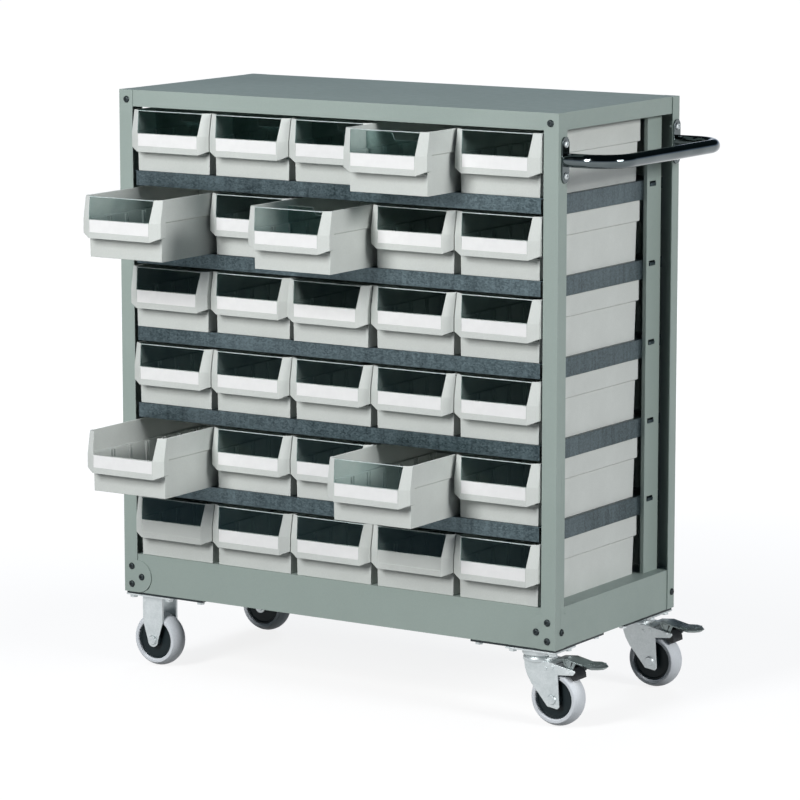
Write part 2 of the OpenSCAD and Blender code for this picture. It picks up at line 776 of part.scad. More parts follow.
module hub() color(black) rotate([90, 0, 0]) {
    boss_w = fork_w - 2 * fork_t - 2 * hub_gap;
    difference() {
        rotate_extrude($fn = 96) polygon([
            [0, -boss_w / 2], [13, -boss_w / 2], [13, -13], [hub_r - 4, -13],
            [hub_r - 3, -15], [hub_r, -15], [hub_r, 15], [hub_r - 3, 15],
            [hub_r - 4, 13], [13, 13], [13, boss_w / 2], [0, boss_w / 2]
        ]);
        cylinder(r = axle_d / 2 + running_play, h = 2 * fork_w, center = true);
    }
}

// Where each wheel's middle is: front or rear, left or right.
wheel_spots = [
    ["front_left", [castor_x, castor_y]],
    ["rear_left", [castor_x, rear_castor_y]],
    ["front_right", [swivel_x + trail, castor_y]],
    ["rear_right", [swivel_x + trail, rear_castor_y]],
];

// ---------- bins ----------
// A bin is drawn about the middle of the foot of its lower front wall.

// The front's outline in X and Y at one height, from its half width, the reach of its
// ends, the half width of its plane and the reach of that plane.
function front_outline(half_w, end_reach, half_plane, reach) = [
    [half_w, front_wrap], [half_w, -end_reach], [half_plane, -reach],
    [-half_plane, -reach], [-half_w, -end_reach], [-half_w, front_wrap]
];

// The same outline one wall further in, with its sides in line with the body's.
function inner_outline(half_w, end_reach, half_plane, reach, half_in) =
    let (
        slope = (reach - end_reach) / (half_w - half_plane),
        shift = bin_wall * sqrt(1 + slope * slope),
        corner = half_w - (reach - bin_wall - end_reach + shift) / slope,
        end_y = -(end_reach + (half_w - half_in) * slope - shift)
    )
    [
        [half_in, front_wrap], [half_in, end_y], [corner, bin_wall - reach],
        [-corner, bin_wall - reach], [-half_in, end_y], [-half_in, front_wrap]
    ];

// A thin slice that a hull can span, under height z.
module slice(points, z) translate([0, 0, z - 0.2]) linear_extrude(0.2) polygon(points);

module bin_front_solid() {
    half = bin_w / 2;
    plane = front_plane_w / 2;
    hull() {
        slice(front_outline(plane + 0.5, front_reach - 0.3, plane, front_reach), front_z + 0.2);
        slice(front_outline(half, front_end_reach, plane, front_reach), front_z + front_chamfer_h);
        slice(front_outline(half, front_end_reach, plane, front_reach), front_kink_z);
        slice(front_outline(half, top_end_reach, top_plane_w / 2, top_reach), bin_h);
    }
}

module bin_front_hollow() {
    half = bin_w / 2;
    plane = front_plane_w / 2;
    half_low = bin_lower_w / 2 - bin_wall;
    half_high = bin_band_w / 2 - bin_wall;
    hull() {
        slice(inner_outline(half, front_end_reach, plane, front_reach, half_low),
            front_z + bin_wall + 0.2);
        slice(inner_outline(half, front_end_reach, plane, front_reach, half_low), front_kink_z);
        slice(inner_outline(half, top_end_reach, top_plane_w / 2, top_reach, half_high), bin_h + 0.4);
    }
}

// The body's cross-section in X and Z, drawn in by a wall.
module bin_section(inset) {
    low = bin_lower_w / 2 - inset;
    foot = low - bin_draft / 2;
    high = bin_band_w / 2 - inset;
    lid = inset > 0 ? bin_h + 1 : bin_h;
    polygon([
        [-foot, inset], [foot, inset], [low, bin_step_z], [high, bin_step_z + bin_step_h],
        [high, lid], [-high, lid], [-high, bin_step_z + bin_step_h], [-low, bin_step_z]
    ]);
}

// The body's side view in Y and Z, drawn in by a wall.
module bin_side_view(inset) {
    lid = inset > 0 ? bin_h + 1 : bin_h;
    back = bin_l - inset;
    polygon([
        [inset, inset], [back - bin_back_step - bin_draft / 2, inset],
        [back - bin_back_step, bin_step_z], [back, bin_step_z + bin_step_h],
        [back, lid], [inset, lid]
    ]);
}

module bin_block(inset) intersection() {
    along_y(inset, bin_l) bin_section(inset);
    along_x(-bin_w / 2, bin_w / 2) bin_side_view(inset);
}

// The window's outline in X and Z, drawn in by a play, up to a height.
module window_outline(play, z_low, z_high) {
    low = front_plane_w / 2 - window_rim - play;
    high = top_plane_w / 2 - window_rim - play;
    lean = (high - low) / (bin_h - front_kink_z);
    polygon([
        [-low, z_low], [low, z_low],
        [low + lean * (z_high - front_kink_z), z_high],
        [-low - lean * (z_high - front_kink_z), z_high]
    ]);
}

module bin_shell() color(bin_grey) difference() {
    union() {
        bin_block(0);
        bin_front_solid();
    }
    bin_block(bin_wall);
    bin_front_hollow();
    along_y(-front_reach - 1, bin_wall + 1) window_outline(0, front_kink_z, bin_h + 1);
    translate([-label_w / 2, -front_reach - 1, front_kink_z - 0.4 - label_h])
        cube([label_w, 1 + label_recess, label_h]);
}

module bin_label() color(paper)
    translate([-label_w / 2 + insert_play, -front_reach + label_recess - label_t - 0.1,
        front_kink_z - 0.4 - label_h + insert_play])
        cube([label_w - 2 * insert_play, label_t, label_h - 2 * insert_play]);

module bin_pane() color(clear) {
    lean = (front_reach - top_reach) / (bin_h - front_kink_z);
    z0 = front_kink_z + insert_play;
    z1 = bin_h - pane_top_gap;
    y0 = -front_reach + pane_inset;
    y1 = y0 + lean * (z1 - front_kink_z);
    intersection() {
        along_x(-bin_w / 2, bin_w / 2)
            polygon([[y0, z0], [y0 + pane_t, z0], [y1 + pane_t, z1], [y1, z1]]);
        along_y(-front_reach, bin_wall) window_outline(insert_play, z0, z1);
    }
}

module bin_divider(slot) color(clear) translate([0, divider_y + slot * divider_pitch, 0]) difference() {
    along_y(0, pane_t) intersection() {
        bin_section(bin_wall + insert_play);
        translate([-bin_w / 2, 0]) square([bin_w, bin_wall + divider_h]);
    }
    along_y(-1, pane_t + 1) translate([0, bin_wall + divider_h])
        polygon([
            [-notch_w / 2, 1], [-notch_w / 2 + notch_h / 2, -notch_h],
            [notch_w / 2 - notch_h / 2, -notch_h], [notch_w / 2, 1]
        ]);
}

module parts_bin(r, c)
    translate([column_x(c), bin_setback - bin_pull[r - 1][c - 1], row_z(r)]) {
        bin_shell();
        if (!listed(unlabelled, r, c)) bin_label();
        if (!listed(paneless, r, c)) bin_pane();
        for (d = divided)
            if (d[0] == r && d[1] == c) bin_divider(d[2]);
    }

// ---------- assembly ----------

place() top_tray();
place() base_tray();
place() front_posts();
place() rear_posts();
place() slotted_uprights();
place() back_panel();
for (s = [1:bin_rows - 1])
    place() shelf(s);
place() push_handle();
place() handle_screws();
place() frame_screws();
place() castor_mount_plates();
place() castor_bolts();
place() fixed_forks();
place() swivel_top_plates();
place() swivel_fork_at(castor_y);  // swivel_fork_front
place() swivel_fork_at(rear_castor_y);  // swivel_fork_rear
for (w = wheel_spots) {
    place() translate([w[1][0], w[1][1], wheel_r]) tyre();
    place() translate([w[1][0], w[1][1], wheel_r]) hub();
}
place() brake_pedal_at(castor_y);  // brake_pedal_front
place() brake_pedal_at(rear_castor_y);  // brake_pedal_rear
for (r = [1:bin_rows], c = [1:bin_columns])
    place() parts_bin(r, c);
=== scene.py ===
"""Parts bin cabinet: materials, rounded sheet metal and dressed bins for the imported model."""

import json
import math

import bmesh
import bpy
from mathutils import Matrix, Vector
from mathutils.geometry import intersect_point_line

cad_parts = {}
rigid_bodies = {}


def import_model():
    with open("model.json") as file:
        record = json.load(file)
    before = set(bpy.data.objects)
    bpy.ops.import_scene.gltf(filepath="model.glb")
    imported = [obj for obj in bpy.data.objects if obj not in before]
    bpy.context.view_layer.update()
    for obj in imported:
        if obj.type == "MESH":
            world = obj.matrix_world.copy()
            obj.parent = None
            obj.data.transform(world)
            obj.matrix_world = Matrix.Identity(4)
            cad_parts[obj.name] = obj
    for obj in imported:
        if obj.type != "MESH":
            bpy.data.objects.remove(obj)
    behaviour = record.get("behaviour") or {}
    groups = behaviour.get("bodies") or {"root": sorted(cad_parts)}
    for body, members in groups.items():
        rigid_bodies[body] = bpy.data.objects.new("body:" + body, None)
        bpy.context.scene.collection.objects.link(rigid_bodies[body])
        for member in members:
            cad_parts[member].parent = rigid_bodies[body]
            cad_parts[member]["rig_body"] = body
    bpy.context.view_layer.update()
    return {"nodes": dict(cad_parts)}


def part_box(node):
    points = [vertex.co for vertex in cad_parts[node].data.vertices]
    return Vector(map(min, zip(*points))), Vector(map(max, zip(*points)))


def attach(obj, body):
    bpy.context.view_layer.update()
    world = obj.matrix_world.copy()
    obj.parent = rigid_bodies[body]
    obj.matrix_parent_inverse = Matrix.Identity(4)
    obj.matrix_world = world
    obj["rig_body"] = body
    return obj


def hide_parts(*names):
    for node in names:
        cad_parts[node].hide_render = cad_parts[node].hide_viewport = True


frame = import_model()
MM = 0.001  # lengths are in metres


# ---------- camera ----------

# Fitted to the cabinet's corners in the photo: metres, and millimetres for the lens.
CAMERA_AZIMUTH = math.radians(32.74)
CAMERA_ELEVATION = math.radians(9.335)
CAMERA_DISTANCE = 7.0047
CAMERA_TARGET = Vector((-0.04549, 0.07941, 0.50828))
CAMERA_LENS = 174.16


def add_camera():
    """Stands the camera off from its target, at the photo's angle."""
    data = bpy.data.cameras.new("camera")
    data.lens = CAMERA_LENS
    data.sensor_width = 36
    data.clip_end = 200
    camera = bpy.data.objects.new("camera", data)
    bpy.context.scene.collection.objects.link(camera)
    flat = math.cos(CAMERA_ELEVATION)
    back = Vector((
        math.sin(CAMERA_AZIMUTH) * flat,
        -math.cos(CAMERA_AZIMUTH) * flat,
        math.sin(CAMERA_ELEVATION),
    ))
    camera.location = CAMERA_TARGET + back * CAMERA_DISTANCE
    camera.rotation_euler = (-back).to_track_quat("-Z", "Y").to_euler()
    bpy.context.scene.camera = camera


# ---------- materials ----------

MIRROR_SHARE = 0.45  # of a clear sheet's Fresnel reflection that it keeps


def srgb(r, g, b):
    """An 8-bit sRGB colour as the linear RGBA that Blender's sockets take."""
    def linear(v):
        v /= 255
        return v / 12.92 if v <= 0.04045 else ((v + 0.055) / 1.055) ** 2.4
    return (linear(r), linear(g), linear(b), 1)


def grey(level):
    """A linear grey."""
    return (level, level, level, 1)


def node(tree, kind, inputs=None, **settings):
    """Adds a shader node. An input's value is a number, a colour or another node's socket."""
    made = tree.nodes.new("ShaderNode" + kind)
    for key, value in settings.items():
        setattr(made, key, value)
    for key, value in (inputs or {}).items():
        if isinstance(value, bpy.types.NodeSocket):
            tree.links.new(value, made.inputs[key])
        else:
            made.inputs[key].default_value = value
    return made


def new_material(name):
    """An empty material and its node tree."""
    material = bpy.data.materials.new(name)
    material.use_nodes = True
    material.node_tree.nodes.clear()
    return material, material.node_tree


def place(tree, scale=(1, 1, 1)):
    """The object's own coordinates in metres, stretched by scale."""
    local = node(tree, "TexCoord").outputs["Object"]
    return node(tree, "Mapping", {"Vector": local, "Scale": scale}).outputs[0]


def noise(tree, scale, detail=3.0, rough=0.5, stretch=(1, 1, 1)):
    """Soft noise from 0 to 1, with about scale patches to a metre."""
    return node(tree, "TexNoise", {
        "Vector": place(tree, stretch), "Scale": scale, "Detail": detail, "Roughness": rough,
    }).outputs["Fac"]


def ramp(tree, value, *colours, at=(0.3, 0.7)):
    """A colour ramp through two or more colours, each where the value is at its number."""
    made = node(tree, "ValToRGB", {"Fac": value})
    stops = made.color_ramp.elements
    while len(stops) < len(colours):
        stops.new(1)
    for stop, colour, position in zip(stops, colours, at):
        stop.color, stop.position = colour, position
    return made.outputs["Color"]


def spread(tree, value, low, high, at=(0.3, 0.7)):
    """A number from low to high, as the value goes from one end of at to the other."""
    return node(tree, "MapRange", {
        "Value": value, "From Min": at[0], "From Max": at[1], "To Min": low, "To Max": high,
    }).outputs[0]


def mix(tree, share, a, b, kind="MIX"):
    """Two colours mixed by a share, each of the three a value or a socket."""
    made = node(tree, "Mix", data_type="RGBA", blend_type=kind)
    for socket, value in ((made.inputs[0], share), (made.inputs[6], a), (made.inputs[7], b)):
        if isinstance(value, bpy.types.NodeSocket):
            tree.links.new(value, socket)
        else:
            socket.default_value = value
    return made.outputs[2]


def bump(tree, height, strength, distance):
    return node(tree, "Bump", {
        "Height": height, "Strength": strength, "Distance": distance,
    }).outputs[0]


def finish_material(tree, shader):
    """Joins the last shader to the material's output."""
    node(tree, "OutputMaterial", {"Surface": shader.outputs[0]})


def paint():
    """Grey-green powder coat with a faint orange peel."""
    material, tree = new_material("frame_paint")
    tone = ramp(tree, noise(tree, 4.0, detail=4.0), srgb(139, 152, 146), srgb(145, 158, 152))
    speck = noise(tree, 900.0, detail=2.0)
    specks = ramp(tree, speck, srgb(128, 142, 136), srgb(180, 192, 187))
    colour = mix(tree, 0.10, tone, specks)
    finish_material(tree, node(tree, "BsdfPrincipled", {
        "Base Color": colour,
        "Roughness": spread(tree, noise(tree, 60.0), 0.46, 0.56),
        "Specular IOR Level": 0.45,
        "Normal": bump(tree, noise(tree, 650.0, detail=2.0), strength=0.25, distance=0.3 * MM),
    }))
    return material


def galvanised():
    """Hot-dip zinc: crystals, streaks along the sheet, cloudy patches and a painted dark
    reflection.
    """
    material, tree = new_material("galvanised_steel")
    crystals = node(tree, "TexVoronoi", {
        "Vector": place(tree, (1, 1, 1.4)), "Scale": 300.0, "Randomness": 1.0,
    }).outputs["Color"]
    facet = node(tree, "SeparateColor", {"Color": crystals}).outputs[0]
    # All colours here are darker than bare zinc: a painted reflection of the dark room.
    base = ramp(tree, facet, srgb(10, 24, 30), srgb(110, 126, 131), at=(0.1, 0.95))
    # The broad patches are partly the zinc's own mottling and partly painted reflection.
    cloud = noise(tree, 3.0, detail=5.0, rough=0.6)
    patches_and_painted_reflection = ramp(tree, cloud, srgb(8, 22, 28), srgb(118, 130, 136))
    lines = noise(tree, 1.0, detail=4.0, rough=0.6, stretch=(90, 90, 5))
    streaks = ramp(tree, lines, srgb(26, 43, 47), srgb(80, 97, 101))
    colour = mix(tree, 0.45, mix(tree, 0.5, base, patches_and_painted_reflection), streaks)
    finish_material(tree, node(tree, "BsdfPrincipled", {
        "Base Color": colour,
        "Metallic": 0.85,
        "Roughness": spread(tree, facet, 0.30, 0.46, (0, 1)),
        "Normal": bump(tree, facet, strength=0.12, distance=0.3 * MM),
    }))
    return material


def zinc(name="zinc_plate", light=(212, 217, 218), dark=(182, 190, 191), rough=0.44):
    """Bright zinc plating, slightly mottled."""
    material, tree = new_material(name)
    cells = node(tree, "TexVoronoi", {"Vector": place(tree), "Scale": 420.0}).outputs["Color"]
    facet = node(tree, "SeparateColor", {"Color": cells}).outputs[0]
    cloud = noise(tree, 30.0, detail=5.0, rough=0.6)
    colour = mix(
        tree, 0.3, ramp(tree, cloud, srgb(*dark), srgb(*light)),
        ramp(tree, facet, srgb(*dark), srgb(*light), at=(0, 1)),
    )
    finish_material(tree, node(tree, "BsdfPrincipled", {
        "Base Color": colour,
        "Metallic": 0.75,
        "Roughness": spread(tree, cloud, rough - 0.06, rough + 0.08),
        "Normal": bump(tree, noise(tree, 500.0, detail=2.0), strength=0.15, distance=0.3 * MM),
    }))
    return material


def chrome():
    """Polished chrome with a fine drawn grain."""
    material, tree = new_material("chrome")
    # The colour is much darker than bare chrome: a painted reflection of the dark room.
    colour = ramp(tree, noise(tree, 20.0, detail=3.0), srgb(88, 96, 98), srgb(102, 110, 112))
    finish_material(tree, node(tree, "BsdfPrincipled", {
        "Base Color": colour,
        "Metallic": 1.0,
        "Roughness": spread(tree, noise(tree, 120.0), 0.06, 0.12),
        "Normal": bump(tree, noise(tree, 900.0, detail=2.0), strength=0.03, distance=0.2 * MM),
    }))
    return material


def moulded(name, light, dark, rough=0.45, grain=900.0, specular=0.4):
    """Moulded plastic or rubber with a fine grain and a soft change of tone."""
    material, tree = new_material(name)
    tone = ramp(tree, noise(tree, 14.0, detail=4.0, rough=0.55), srgb(*dark), srgb(*light))
    speck = ramp(tree, noise(tree, grain, detail=2.0), grey(0.92), grey(1.04))
    colour = mix(tree, 1.0, tone, speck, "MULTIPLY")
    finish_material(tree, node(tree, "BsdfPrincipled", {
        "Base Color": colour,
        "Roughness": spread(tree, noise(tree, 50.0), rough - 0.05, rough + 0.06),
        "Specular IOR Level": specular,
        "Normal": bump(tree, noise(tree, grain, detail=2.0), strength=0.2, distance=0.2 * MM),
    }))
    return material


def black_oxide():
    """Black oxide and black paint, a little uneven."""
    material, tree = new_material("black_screws")
    colour = ramp(tree, noise(tree, 300.0, detail=3.0), srgb(22, 30, 32), srgb(42, 52, 54))
    finish_material(tree, node(tree, "BsdfPrincipled", {
        "Base Color": colour,
        "Metallic": 0.5,
        "Roughness": spread(tree, noise(tree, 200.0), 0.35, 0.5),
        "Normal": bump(tree, noise(tree, 900.0, detail=2.0), strength=0.1, distance=0.2 * MM),
    }))
    return material


def paper():
    """Blank white card."""
    material, tree = new_material("label_card")
    colour = ramp(tree, noise(tree, 60.0, detail=4.0), srgb(226, 226, 225), srgb(231, 231, 230))
    finish_material(tree, node(tree, "BsdfPrincipled", {
        "Base Color": colour,
        "Roughness": spread(tree, noise(tree, 80.0), 0.7, 0.85),
        "Specular IOR Level": 0.3,
        "Normal": bump(tree, noise(tree, 1200.0, detail=2.0), strength=0.05, distance=0.1 * MM),
    }))
    return material


def clear_sheet():
    """Clear styrene: it passes light straight on, and mirrors more at a flat angle."""
    material, tree = new_material("clear_pane")
    haze = ramp(tree, noise(tree, 25.0, detail=4.0), srgb(226, 236, 235), srgb(238, 245, 244))
    through = node(tree, "BsdfTransparent", {"Color": haze})
    gloss = node(tree, "BsdfGlossy", {
        "Color": srgb(214, 242, 238),
        "Roughness": spread(tree, noise(tree, 40.0), 0.05, 0.12),
    })
    fresnel = node(tree, "Fresnel", {"IOR": 1.45})
    share = node(tree, "Math", {0: fresnel.outputs[0], 1: MIRROR_SHARE}, operation="MULTIPLY")
    shader = node(tree, "MixShader", {0: share.outputs[0]})
    tree.links.new(through.outputs[0], shader.inputs[1])
    tree.links.new(gloss.outputs[0], shader.inputs[2])
    finish_material(tree, shader)
    return material


def cut_edge():
    """The sheet's cut edges, which gather light and look milky."""
    material, tree = new_material("pane_edge")
    colour = ramp(tree, noise(tree, 120.0, detail=3.0), srgb(150, 166, 163), srgb(196, 206, 204))
    finish_material(tree, node(tree, "BsdfPrincipled", {
        "Base Color": colour,
        "Roughness": spread(tree, noise(tree, 300.0), 0.2, 0.35),
        "Normal": bump(tree, noise(tree, 600.0, detail=2.0), strength=0.1, distance=0.2 * MM),
    }))
    return material


PAINT = paint()
GALVANISED = galvanised()
ZINC = zinc()
PEDAL_ZINC = zinc("pedal_zinc", light=(150, 158, 158), dark=(96, 110, 108), rough=0.3)
CHROME = chrome()
BLACK = black_oxide()
BIN_PLASTIC = moulded("bin_plastic", (201, 205, 201), (193, 197, 193), rough=0.42)
TYRE = moulded("tyre_rubber", (213, 217, 221), (202, 207, 212), rough=0.55, grain=500.0)
HUB = moulded("hub_plastic", (24, 36, 39), (16, 27, 30), grain=700.0, specular=0.2)
SHOE = moulded("brake_shoe_rubber", (26, 30, 32), (18, 22, 24), rough=0.5, grain=600.0)
CARD = paper()
CLEAR = clear_sheet()
EDGE = cut_edge()


# ---------- mesh helpers ----------

WELD = 0.002 * MM  # vertices closer than this are one
FLAT = math.radians(0.8)  # neighbours that bend less lie in one plane
SHARP = math.radians(28)  # edges that bend more are rounded
SOFTEST = math.cos(math.radians(60))  # faces that bend more don't share a normal
CREASE = math.cos(math.radians(5))  # the same, between two wide faces
ASIDE = math.cos(math.radians(30))  # an edge that bends less runs on from its neighbour
BEVEL_SHARE = 0.4  # of an edge's room that its rounding may take
BEVEL_LEAST = 0.1  # of the full width; edges with less room stay sharp


def cad_mesh(name):
    """A CAD node's mesh with its vertices welded."""
    bm = bmesh.new()
    bm.from_mesh(frame["nodes"][name].data)
    bmesh.ops.remove_doubles(bm, verts=bm.verts, dist=WELD)
    bm.faces.index_update()
    return bm


def islands(bm):
    """The connected parts of a mesh, each as a list of its faces."""
    left, found = set(bm.faces), []
    for first in bm.faces:
        if first not in left:
            continue
        left.remove(first)
        stack, part = [first], []
        while stack:
            face = stack.pop()
            part.append(face)
            for edge in face.edges:
                for other in edge.link_faces:
                    if other in left:
                        left.remove(other)
                        stack.append(other)
        found.append(part)
    return found


def part_of(bm, faces):
    """A new mesh with only these faces."""
    kept = {f.index for f in faces}
    copy = bm.copy()
    copy.faces.ensure_lookup_table()
    bmesh.ops.delete(
        copy, geom=[f for f in copy.faces if f.index not in kept], context="FACES"
    )
    return copy


def face_box(faces):
    """The lowest and the highest corner of the faces' box."""
    points = [v.co for f in faces for v in f.verts]
    return (
        Vector([min(p[i] for p in points) for i in range(3)]),
        Vector([max(p[i] for p in points) for i in range(3)]),
    )


def to_object(bm, name, materials):
    """A new object of this mesh, which is used up."""
    mesh = bpy.data.meshes.new(name)
    bm.to_mesh(mesh)
    bm.free()
    for material in materials:
        mesh.materials.append(material)
    made = bpy.data.objects.new(name, mesh)
    bpy.context.scene.collection.objects.link(made)
    return made


def apply_modifiers(obj):
    """Turns an object's modifiers into its mesh."""
    ready = obj.evaluated_get(bpy.context.evaluated_depsgraph_get())
    mesh = bpy.data.meshes.new_from_object(ready)
    obj.modifiers.clear()
    obj.data = mesh


def clearance(edge):
    """How much room an edge has: how far the nearest edge across its two faces is, or how long
    the shortest edge is that leaves its ends at an angle."""
    start, end = (v.co for v in edge.verts)
    along = (end - start).normalized()
    samples = [start.lerp(end, t) for t in (0.1, 0.5, 0.9)]
    nearest = math.inf
    for face in edge.link_faces:
        for other in face.edges:
            a, b = (v.co for v in other.verts)
            if not set(other.verts) & set(edge.verts):
                for sample in samples:
                    t = intersect_point_line(sample, a, b)[1]
                    point = a.lerp(b, min(1, max(0, t)))
                    nearest = min(nearest, (point - sample).length)
            elif abs((b - a).normalized().dot(along)) < ASIDE:
                nearest = min(nearest, (b - a).length)
    return nearest


def joins_convex(edge):
    """Whether an edge's two faces together have no inward corner at the edge's ends."""
    for vertex in edge.verts:
        corners = [c for c in vertex.link_loops if c.face in edge.link_faces]
        if sum(c.calc_angle() for c in corners) >= math.pi + FLAT:
            return False
    return True


def join_flat(bm):
    """Joins neighbours in one plane, longest seam first, as long as the outline stays convex."""
    seams = [e for e in bm.edges if len(e.link_faces) == 2 and e.calc_face_angle() < FLAT]
    for edge in sorted(seams, key=lambda e: -e.calc_length()):
        if edge.is_valid and joins_convex(edge):
            bmesh.utils.face_join(edge.link_faces)


def shade(mesh, crisp=math.inf):
    """Gives each corner the mean normal of the faces about it, weighted by their areas, so that
    wide flat faces look flat. Two faces of more than the area crisp share none at a crease."""
    around = [[] for _ in mesh.vertices]
    for polygon in mesh.polygons:
        for vertex in polygon.vertices:
            around[vertex].append((polygon.normal.copy(), polygon.area))
    normals = []
    for polygon in mesh.polygons:
        own = polygon.normal
        for vertex in polygon.vertices:
            total = Vector()
            for normal, area in around[vertex]:
                least = CREASE if min(area, polygon.area) > crisp else SOFTEST
                if normal.dot(own) > least:
                    total += normal * area
            normals.append(total.normalized() if total.length else own)
    mesh.normals_split_custom_set(normals)


def rounded(obj, width, segments=2, crisp=math.inf, clamped=True):
    """Rounds the sharp edges, less where the faces are narrow, and keeps the flat faces flat.
    Clamped, the shortest edge of the mesh sets a limit for all of the rounding. Either way no
    corner leaves the mesh's own box."""
    bm = bmesh.new()
    bm.from_mesh(obj.data)
    bmesh.ops.triangulate(bm, faces=bm.faces)
    join_flat(bm)
    weight = bm.edges.layers.float.new("bevel_weight_edge")
    for edge in bm.edges:
        if len(edge.link_faces) == 2 and edge.calc_face_angle() > SHARP:
            share = min(1, BEVEL_SHARE * clearance(edge) / width)
            edge[weight] = share if share > BEVEL_LEAST else 0
    for face in bm.faces:
        face.smooth = True
    low, high = face_box(bm.faces)
    bm.to_mesh(obj.data)
    bm.free()
    bevel = obj.modifiers.new("bevel", "BEVEL")
    bevel.width = width
    bevel.segments = segments
    bevel.limit_method = "WEIGHT"
    bevel.miter_outer = "MITER_ARC"
    bevel.use_clamp_overlap = clamped
    apply_modifiers(obj)
    for vertex in obj.data.vertices:
        vertex.co = [min(max(c, a), b) for c, a, b in zip(vertex.co, low, high)]
    shade(obj.data, crisp)
    return obj


def stand_in(piece, name):
    """Has a piece take a CAD node's place, on its body."""
    cad = frame["nodes"][name]
    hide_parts(name)
    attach(piece, cad["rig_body"])


def dressed(name, material, width, segments=2, clamped=True):
    """A CAD node with its edges rounded, as a piece that stands for it."""
    piece = to_object(cad_mesh(name), "dressed_" + name, [material])
    stand_in(rounded(piece, width, segments, clamped=clamped), name)


# ---------- frame, handle and castors ----------

# Widths of the rounded edges
TRAY_EDGE = 0.7 * MM
PANEL_EDGE = 0.4 * MM
SHELF_EDGE = 0.45 * MM
MOUNT_PLATE_EDGE = 0.5 * MM
SCREW_EDGE = 0.25 * MM
HANDLE_EDGE = 0.3 * MM
BOLT_EDGE = 0.3 * MM
FORK_EDGE = 0.7 * MM
TOP_PLATE_EDGE = 0.6 * MM
PEDAL_EDGE = 0.5 * MM
TYRE_EDGE = 2.5 * MM
HUB_EDGE = 0.7 * MM

SHOE_MOST_LENGTH = 50 * MM  # a brake's shoe is shorter than this, and its pedal longer


def build_frame():
    """The sheet metal, its screws and plates, and the handle."""
    for name in ("top_tray", "base_tray", "front_posts", "rear_posts"):
        dressed(name, PAINT, TRAY_EDGE)
    for name in ("slotted_uprights", "back_panel"):
        dressed(name, PAINT, PANEL_EDGE)
    for row in range(1, BIN_ROWS):
        dressed(f"shelf_{row}", GALVANISED, SHELF_EDGE)
    dressed("castor_mount_plates", BLACK, MOUNT_PLATE_EDGE)
    dressed("frame_screws", BLACK, SCREW_EDGE)
    dressed("handle_screws", ZINC, SCREW_EDGE)
    dressed("push_handle", CHROME, HANDLE_EDGE)


def dressed_pedal(name):
    """As dressed, with a material of its own for the shoe under the pedal."""
    bm = cad_mesh(name)
    for faces in islands(bm):
        low, high = face_box(faces)
        for face in faces:
            face.material_index = 1 if high.x - low.x < SHOE_MOST_LENGTH else 0
    piece = to_object(bm, "dressed_" + name, [PEDAL_ZINC, SHOE])
    stand_in(rounded(piece, PEDAL_EDGE), name)


def build_castors():
    """The forks, pedals, wheels and bolts of all four castors."""
    dressed("castor_bolts", ZINC, BOLT_EDGE)
    dressed("fixed_forks", ZINC, FORK_EDGE, segments=3)
    dressed("swivel_top_plates", ZINC, TOP_PLATE_EDGE)
    for end in ("front", "rear"):
        dressed(f"swivel_fork_{end}", ZINC, FORK_EDGE, segments=3, clamped=False)
        dressed_pedal(f"brake_pedal_{end}")
    for wheel in ("front_left", "rear_left", "front_right", "rear_right"):
        dressed("tyre_" + wheel, TYRE, TYRE_EDGE, segments=4)
        dressed("hub_" + wheel, HUB, HUB_EDGE)


# ---------- bins ----------

BIN_ROWS = 6
BIN_COLUMNS = 5

# A bin's ribs, from its lower front wall, its floor and its middle
BIN_LENGTH = 337 * MM
BIN_FLOOR = 2.2 * MM
RIB_FIRST = 55 * MM
RIB_PITCH = 51.5 * MM
RIB_PAIRS = 6
RIB_APART = 8 * MM
RIB_THICK = 1.6 * MM
RIB_TOP = 68.5 * MM
RIB_INSIDE = 74.4 * MM
RIB_OUTSIDE = 78.2 * MM

SHELL_LEAST_DEPTH = 100 * MM  # the sizes that tell a bin's solids apart
LABEL_MOST_HEIGHT = 30 * MM
PANE_MOST_HEIGHT = 60 * MM

SHELL_EDGE = 0.8 * MM
CARD_EDGE = 0.1 * MM
CLEAR_EDGE = 0.15 * MM
# The milky band along a pane's top: partly its milky edge, partly a painted highlight.
PANE_BEAD_AND_HIGHLIGHT = 1.3 * MM
WIDE_FACE = 200 * MM**2  # between the shell's faces above this, a bend stays crisp
ALONG_Y = 0.9  # of a normal, on the clear sheets' two broad faces


def bin_origin(name):
    """The middle of the foot of a bin's back, which its pieces are drawn about."""
    low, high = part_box(name)
    return Vector(((low.x + high.x) / 2, high.y, low.z))


def bin_solids(name):
    """A bin's solids by kind, each as a mesh about the bin's origin."""
    bm = cad_mesh(name)
    bmesh.ops.translate(bm, verts=bm.verts, vec=-bin_origin(name))
    found = {}
    for faces in islands(bm):
        low, high = face_box(faces)
        depth, height = high.y - low.y, high.z - low.z
        if depth > SHELL_LEAST_DEPTH:
            kind = "shell"
        elif height < LABEL_MOST_HEIGHT:
            kind = "label"
        elif height < PANE_MOST_HEIGHT:
            kind = "pane"
        else:
            kind = "divider"
        found[kind] = part_of(bm, faces)
    bm.free()
    return found


def rib_boxes():
    """The pairs of ribs on the inside of the lower side walls that hold cross dividers. They
    start inside the floor and end inside the walls, so that they join both."""
    bm = bmesh.new()
    foot = BIN_FLOOR / 2
    shape = Matrix.Diagonal((RIB_OUTSIDE - RIB_INSIDE, RIB_THICK, RIB_TOP - foot, 1))
    for pair in range(RIB_PAIRS):
        middle = RIB_FIRST + pair * RIB_PITCH - BIN_LENGTH
        for side in (-1, 1):
            for half in (-1, 1):
                centre = Vector((
                    side * (RIB_OUTSIDE + RIB_INSIDE) / 2,
                    middle + half * RIB_APART / 2,
                    (RIB_TOP + foot) / 2,
                ))
                bmesh.ops.create_cube(bm, size=1, matrix=Matrix.Translation(centre) @ shape)
    return bm


